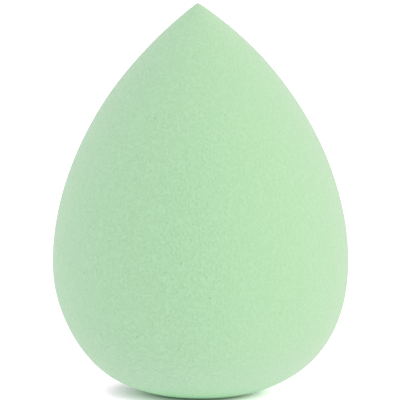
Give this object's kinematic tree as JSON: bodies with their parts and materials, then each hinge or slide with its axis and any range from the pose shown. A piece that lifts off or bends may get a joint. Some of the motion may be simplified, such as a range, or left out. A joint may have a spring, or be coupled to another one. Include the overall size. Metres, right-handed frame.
{
  "type": "makeup sponge",
  "caption": "Teardrop of soft, fine-pored foam that stands on its rounded end; the broad end blends makeup over the face and the pointed tip reaches beside the nose and eyes.",
  "frame": {"origin": "centre of the small flat face that the rounded end makes where the sponge stands", "axes": "+Z along the teardrop's axis, from the rounded end up to the pointed tip; the body is round about +Z, and -Y is the side that the picture shows"},
  "size_m": [0.0454, 0.0454, 0.06],
  "materials": {
    "foam": "matte, pastel mint green, fine open-cell foam with a ground skin"
  },
  "bodies": {
    "root": {"foam_body": "foam"}
  },
  "joints": []
}
